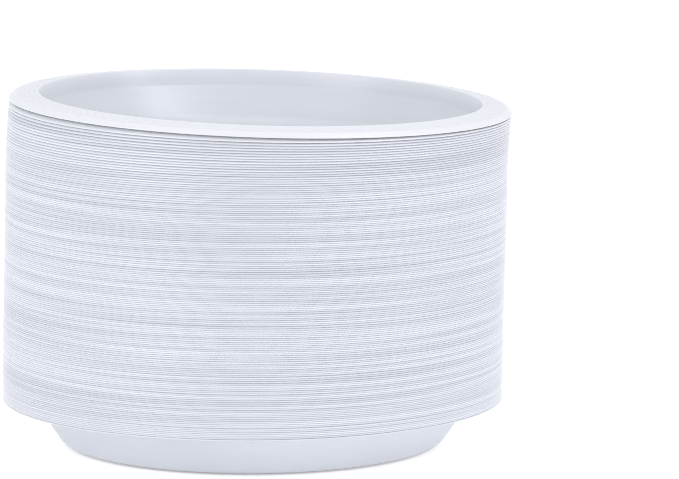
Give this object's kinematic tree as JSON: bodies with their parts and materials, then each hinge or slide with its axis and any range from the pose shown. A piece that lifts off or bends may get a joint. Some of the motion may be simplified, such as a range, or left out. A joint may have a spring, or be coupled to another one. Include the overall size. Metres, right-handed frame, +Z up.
{
  "type": "stack of appetizer plates",
  "caption": "Tall nested stack of round clear plastic appetizer plates with shallow bowls, turned-down lips and a fine embossed diamond band on the rim.",
  "frame": {"origin": "centre of the flat foot of the lowest plate, on the surface that the stack stands on", "axes": "+Z up the stack, +X to the side that the stack bows towards, -Y to the front"},
  "size_m": [0.181, 0.178, 0.1261],
  "materials": {
    "clear_sheet": "clear thermoformed sheet, glossy, with a fine embossed band on the rim"
  },
  "bodies": {
    "root": {"bottom_plate": "clear_sheet", "plates_002_to_004": "clear_sheet", "plates_005_to_007": "clear_sheet", "plates_008_to_010": "clear_sheet", "plates_011_to_013": "clear_sheet", "plates_014_to_016": "clear_sheet", "plates_017_to_019": "clear_sheet", "plates_020_to_022": "clear_sheet", "plates_023_to_025": "clear_sheet", "plates_026_to_028": "clear_sheet", "plates_029_to_031": "clear_sheet", "plates_032_to_034": "clear_sheet", "plates_035_to_037": "clear_sheet", "plates_038_to_040": "clear_sheet", "plates_041_to_043": "clear_sheet", "plates_044_to_046": "clear_sheet", "plates_047_to_049": "clear_sheet", "plates_050_to_052": "clear_sheet", "plates_053_to_055": "clear_sheet", "plates_056_to_058": "clear_sheet", "plates_059_to_061": "clear_sheet", "plates_062_to_064": "clear_sheet", "plates_065_to_067": "clear_sheet", "plates_068_to_070": "clear_sheet", "plates_071_to_073": "clear_sheet", "plates_074_to_076": "clear_sheet", "plates_077_to_079": "clear_sheet", "plates_080_to_082": "clear_sheet", "plates_083_to_085": "clear_sheet", "plates_086_to_088": "clear_sheet", "plates_089_to_091": "clear_sheet", "plates_092_to_094": "clear_sheet", "plates_095_to_097": "clear_sheet", "plates_098_to_100": "clear_sheet", "plates_101_to_103": "clear_sheet", "plates_104_to_106": "clear_sheet", "plates_107_to_109": "clear_sheet", "plates_110_to_112": "clear_sheet", "plates_113_to_115": "clear_sheet", "plates_116_to_118": "clear_sheet", "plates_119_to_121": "clear_sheet", "plates_122_to_124": "clear_sheet", "plates_125_to_127": "clear_sheet", "plates_128_to_130": "clear_sheet", "plates_131_to_133": "clear_sheet", "plates_134_to_136": "clear_sheet", "plates_137_to_139": "clear_sheet", "plates_140_to_142": "clear_sheet", "plates_143_to_145": "clear_sheet", "plates_146_to_148": "clear_sheet", "second_plate": "clear_sheet", "top_plate": "clear_sheet"}
  },
  "joints": []
}
